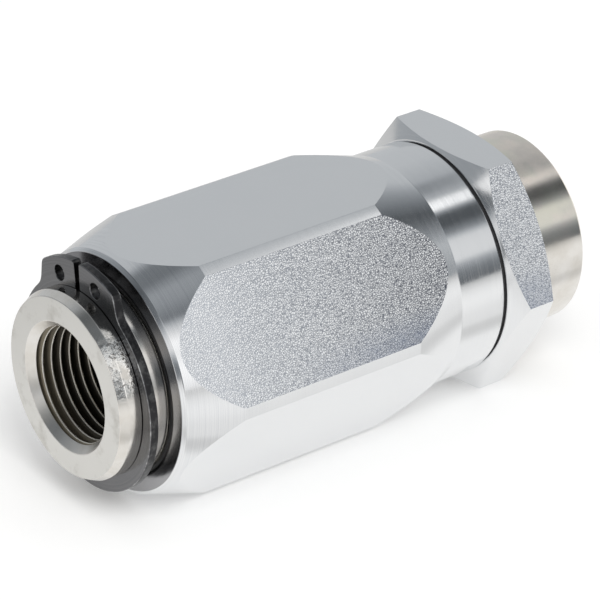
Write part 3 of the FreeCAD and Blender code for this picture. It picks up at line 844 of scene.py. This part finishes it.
# %% A copy with rounded edges
def rounded_copy(node, name, width, turn, finish):
    """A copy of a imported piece, turned about X by so many degrees, with rounded edges."""
    work = bmesh.new()
    work.from_mesh(nodes[node].data)
    bmesh.ops.rotate(work, matrix=Matrix.Rotation(math.radians(turn), 3, "X"), verts=work.verts)
    bmesh.ops.remove_doubles(work, verts=work.verts, dist=2e-6)
    flat, sharp_from, smooth_to = math.radians(0.5), math.radians(35), math.radians(20)
    bmesh.ops.dissolve_limit(work, angle_limit=flat, verts=work.verts, edges=work.edges)
    sharp = [e for e in work.edges if len(e.link_faces) == 2 and e.calc_face_angle() > sharp_from]
    mark = work.faces.layers.float.new("rounded_edge")
    made = bmesh.ops.bevel(work, geom=sharp, offset=width * MM, segments=2, profile=0.5, affect="EDGES",
                           clamp_overlap=True)
    for face in made["faces"]:
        face[mark] = 1.0
    for face in work.faces:
        face.smooth = True
        face.material_index = 0
    for edge in work.edges:
        edge.smooth = len(edge.link_faces) == 2 and edge.calc_face_angle() < smooth_to
    mesh = bpy.data.meshes.new(name)
    work.to_mesh(mesh)
    work.free()
    mesh.materials.append(finish)
    piece = new_object(name, mesh)
    print(name, "has", len(mesh.polygons), "faces and", len(sharp), "rounded edges")
    return piece


stop_ring = rounded_copy("stop_ring", "rounded_stop_ring", 0.09, -1.2, BLACK_PHOSPHATE)
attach(stop_ring, "housing")
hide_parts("stop_ring")

# %% [markdown]
# ## Finishes on the pieces that stay as they are
#
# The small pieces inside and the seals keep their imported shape. Their slots only get a
# better material.

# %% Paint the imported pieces
PAINT = {
    "wiper_ring": RUBBER, "front_o_ring": RUBBER, "rear_o_ring": RUBBER, "nut_seal": RUBBER,
    "front_backup_ring": WHITE_PLASTIC, "rear_backup_ring": WHITE_PLASTIC, "spring_plate": TURNED_STEEL,
    "poppet": TURNED_STEEL, "snap_ring": SPRING_STEEL}
for name, material in PAINT.items():
    for slot in nodes[name].material_slots:
        slot.material = material
print("painted", len(PAINT), "packed pieces")

# %% [markdown]
# ## Studio
#
# Polished metal shows its surroundings, so they are built with care. A long tent stands
# round the valve, parallel to its axis. Round the axis it goes from a pale far side
# over a dim top with one narrow strip light and a dark gap to a broad front light and a
# dark gap above the table. Each cylinder shows these as stripes. A surface further back
# or one that leans shows another length of the tent. The cones see no strip light, the
# collar sees a strong one, and the tail sees a plain top, so the tent has six profiles.
# Each lists a glow for an angle in degrees, 0 at the top and positive to the front.

# %% Profiles of the tent
FRONT_TENT = [
    (-180, 0.95), (-122, 0.90), (-104, 0.58), (-94, 0.43), (-57, 0.36), (-37, 0.23), (-16, 0.11), (-5, 0.17),
    (19, 0.18), (28, 0.40), (41, 0.80), (54, 0.92), (60, 0.72), (66, 0.44), (76, 0.20), (89, 0.26),
    (100, 0.60), (120, 0.90), (180, 0.95)]
NEAR_TENT = [
    (-180, 0.95), (-122, 0.90), (-112, 0.60), (-36, 0.57), (-24, 0.54), (-15, 0.22), (-2, 0.20), (8, 0.38),
    (18, 0.34), (31, 0.20), (38, 0.66), (43, 0.84), (50, 1.16), (61, 1.04), (72, 1.22), (83, 1.12),
    (90, 0.97), (180, 0.90)]
MIDDLE_TENT = [
    (-180, 0.95), (-122, 0.90), (-112, 0.60), (-48, 0.58), (-28, 0.52), (-19, 0.48), (-12, 0.26), (-4, 0.28),
    (0, 0.64), (9.5, 0.76), (11, 1.15), (16, 1.15), (18, 0.46), (22, 0.10), (33, 0.09), (41, 0.26),
    (48, 0.76), (67, 0.80), (72, 0.42), (79, 0.22), (90, 0.13), (95, 0.55), (101, 0.92), (180, 0.95)]
STRIP_LIGHT = [(1, 0.28), (4, 0.45), (7.5, 1.50), (15, 1.50), (18, 0.46)]
COLLAR_TENT = sorted(STRIP_LIGHT + [mark for mark in MIDDLE_TENT if not -5 < mark[0] < 20])
PLAIN_TOP = [(14, 0.54)]
TAIL_TENT = sorted(PLAIN_TOP + [mark for mark in MIDDLE_TENT if not -27 < mark[0] < 20])
FAR_TENT = [
    (-180, 0.95), (-122, 0.90), (-112, 0.60), (-48, 0.57), (-32, 0.36), (-17, 0.22), (-2, 0.10), (8, 0.14),
    (16, 0.20), (30, 0.32), (46, 0.52), (65, 0.44), (83, 0.38), (101, 0.34), (124, 0.66), (180, 0.95)]
print("the tent's strip light has a glow of", max(glow for angle, glow in STRIP_LIGHT))

# %% [markdown]
# A Float Curve node turns a list of marks into a curve. Each profile gets one, and they
# are blended one after the other along X, in metres. The tent's mesh is an open shell,
# a good half of a cylinder. It is seen in reflections alone, and lights nothing.


# %% The tent of light and dark strips
BRIGHTEST = 1.60
TENT_RADIUS = 0.9
TENT_REACH = 2.4
TENT_BLENDS = [
    (NEAR_TENT, -0.30, -0.12), (MIDDLE_TENT, 0.24, 0.62), (COLLAR_TENT, 0.608, 0.628),
    (TAIL_TENT, 0.657, 0.667), (FAR_TENT, 0.8, 1.0)]


def curve_through(tree, share, marks, handle):
    """A curve from 0 to 1 through marks of share and height."""
    node = add(tree, "ShaderNodeFloatCurve", [1.0, share])
    points = node.mapping.curves[0].points
    for mark in marks[1:-1]:
        points.new(*mark)
    points[0].location = marks[0]
    points[len(points) - 1].location = marks[-1]
    for point in points:
        point.handle_type = handle
    node.mapping.update()
    return node.outputs[0]


def glow_curve(tree, share, profile):
    """Glow of a profile, for an angle that is given as a share of a turn."""
    marks = [((angle + 180) / 360, glow / BRIGHTEST) for angle, glow in profile]
    return times(tree, curve_through(tree, share, marks, "VECTOR"), BRIGHTEST)


def glow_finish():
    """A material whose glow depends on the angle round the X axis and on X."""
    material = bpy.data.materials.new("tent_glow")
    material.use_nodes = True
    tree = material.node_tree
    tree.nodes.clear()
    parts = add(tree, "ShaderNodeSeparateXYZ", [add(tree, "ShaderNodeTexCoord").outputs["Object"]]).outputs
    turn = calc(tree, "ARCTAN2", times(tree, parts[1], -1.0), parts[2])
    share = stretch(tree, turn, -math.pi, math.pi)
    glow = glow_curve(tree, share, FRONT_TENT)
    for profile, start, end in TENT_BLENDS:
        values = {0: stretch(tree, parts[0], start, end), 2: glow, 3: glow_curve(tree, share, profile)}
        glow = add(tree, "ShaderNodeMix", values).outputs[0]
    colour = blend(tree, stretch(tree, glow, 0.1, 0.9), (0.84, 0.92, 1.0), (1.0, 1.0, 1.0))
    light = add(tree, "ShaderNodeEmission", {"Color": colour, "Strength": glow}).outputs[0]
    add(tree, "ShaderNodeOutputMaterial", [light])
    return material


def tent():
    """The tent's shell, from 120 degrees at the far side to 92 degrees at the front."""
    angles = [math.radians(-120 + 4 * i) for i in range(54)]
    ring = [(-TENT_RADIUS * math.sin(a), TENT_RADIUS * math.cos(a)) for a in angles]
    points = [(x, y, z) for y, z in ring for x in (-TENT_REACH, TENT_REACH)]
    faces = [(2 * i, 2 * i + 1, 2 * i + 3, 2 * i + 2) for i in range(len(ring) - 1)]
    mesh = bpy.data.meshes.new("light_tent")
    mesh.from_pydata(points, [], faces)
    mesh.materials.append(glow_finish())
    shell = new_object("light_tent", mesh)
    shell.visible_camera = False
    shell.visible_diffuse = False
    shell.visible_shadow = False
    return len(faces)


print("the tent has", tent(), "strips")

# %% [markdown]
# The floor is white paper. Light falls on it as on anything else, so the valve keeps
# its soft shadow, and a little glow of its own, seen by the camera and in reflections,
# brings the open paper to white. The lower sides of the valve mirror the paper close
# by. In reflections alone the paper carries painted shade: a darker stripe in front of
# the valve stands in for the valve's soft shadow there, and the paper further away is
# dimmer, and that draws the edges of the lower flats. The painted tone changes with Y,
# in metres from the axis.

# %% White floor
FLOOR_HEIGHT = -0.016
FLOOR_REACH = 6.0
# painted shade seen in reflections: a shadow stripe in front of the valve, and dimmer paper further away
PAPER_SHADE_IN_REFLECTIONS = [
    (-0.400, 0.60), (-0.200, 0.72), (-0.100, 0.90), (-0.060, 0.96), (-0.040, 0.88), (-0.031, 0.86),
    (-0.027, 0.70), (-0.023, 0.82), (-0.019, 1.0), (0.010, 1.0), (0.050, 0.80), (0.100, 0.66)]


def ways_of_looking(tree):
    """Two values: 1 for a mirrored or refracted ray, and 1 for that or a camera ray."""
    path = add(tree, "ShaderNodeLightPath").outputs
    mirrored = calc(tree, "MAXIMUM", path["Is Glossy Ray"], path["Is Transmission Ray"])
    return mirrored, calc(tree, "MAXIMUM", path["Is Camera Ray"], mirrored)


def mirrored_paper_shade(tree, mirrored):
    """1 to the camera; in reflections the painted shade of the paper at that Y."""
    parts = add(tree, "ShaderNodeSeparateXYZ", [add(tree, "ShaderNodeTexCoord").outputs["Object"]]).outputs
    first, last = PAPER_SHADE_IN_REFLECTIONS[0][0], PAPER_SHADE_IN_REFLECTIONS[-1][0]
    marks = [((y - first) / (last - first), tone) for y, tone in PAPER_SHADE_IN_REFLECTIONS]
    tone = curve_through(tree, stretch(tree, parts[1], first, last), marks, "AUTO")
    return add(tree, "ShaderNodeMix", {0: mirrored, 2: 1.0, 3: tone}).outputs[0]


def white_paper():
    """Paper that takes light and shadow, with a little glow of its own."""
    material = bpy.data.materials.new("white_paper")
    material.use_nodes = True
    tree = material.node_tree
    tree.nodes.clear()
    mirrored, seen = ways_of_looking(tree)
    tone = mirrored_paper_shade(tree, mirrored)
    lit = times(tree, tone, stretch(tree, mirrored, 0.0, 1.0, 1.0, 0.62))
    white = blend(tree, lit, (0.0, 0.0, 0.0), (0.93, 0.93, 0.925))
    paper = add(tree, "ShaderNodeBsdfDiffuse", {"Color": white}).outputs[0]
    strength = times(tree, seen, stretch(tree, mirrored, 0.0, 1.0, 0.14, 0.44))
    values = {"Color": (1.0, 1.0, 0.995, 1), "Strength": times(tree, strength, tone)}
    glow = add(tree, "ShaderNodeEmission", values).outputs[0]
    both = add(tree, "ShaderNodeAddShader", [paper, glow]).outputs[0]
    add(tree, "ShaderNodeOutputMaterial", [both])
    return material


def white_floor():
    """A large sheet of white paper under the valve."""
    mesh = bpy.data.meshes.new("paper_floor")
    corners = [(-1, -1), (1, -1), (1, 1), (-1, 1)]
    points = [(x * FLOOR_REACH, y * FLOOR_REACH, FLOOR_HEIGHT) for x, y in corners]
    mesh.from_pydata(points, [], [(0, 1, 2, 3)])
    mesh.materials.append(white_paper())
    floor = new_object("paper_floor", mesh)
    return floor


print("made", white_floor().name)

# %% [markdown]
# The world gives an even light from all sides, and a large soft lamp in front and above
# adds direction to it. To the camera and in reflections the world is white.


# %% World and lamp
def world_light():
    """White to the eye, a little dimmer as a light."""
    world = bpy.data.worlds.new("white_room")
    bpy.context.scene.world = world
    world.use_nodes = True
    tree = world.node_tree
    mirrored, seen = ways_of_looking(tree)
    strength = stretch(tree, seen, 0.0, 1.0, 0.70, 1.0)
    back = tree.nodes["Background"]
    back.inputs["Color"].default_value = (1, 1, 1, 1)
    tree.links.new(strength, back.inputs["Strength"])


def soft_lamp(name, place, size, power):
    """A square area lamp that looks at the valve."""
    light = bpy.data.lights.new(name, "AREA")
    light.size = size
    light.energy = power
    lamp = new_object(name, light)
    lamp.location = place
    lamp.rotation_euler = (-Vector(place)).to_track_quat("-Z", "Y").to_euler()
    lamp.visible_glossy = False


world_light()
soft_lamp("front_lamp", (-0.15, -0.55, 0.75), 0.5, 4.0)
print("world and lamp are lit")

# %% [markdown]
# The camera was found from the photograph: the hexagon's corners, the port's circle and
# the tail fix where it stood. It looks down at the nose from the left, with a long lens.

# %% Camera
camera_data = bpy.data.cameras.new("camera")
camera_data.lens = 227.36
camera_data.sensor_width = 36
camera = new_object("camera", camera_data)
right = Vector((0.7931, -0.6090, 0.0144))
up = Vector((0.2857, 0.3927, 0.8742))
backward = Vector((-0.5380, -0.6892, 0.4854))
camera.rotation_euler = Matrix((right, up, backward)).transposed().to_euler()
camera.location = (-0.25781, -0.32989, 0.23278)
bpy.context.scene.camera = camera
bpy.context.scene.view_settings.view_transform = "Standard"
print("the camera leans by", round(math.degrees(math.asin(right.z)), 2), "degrees")
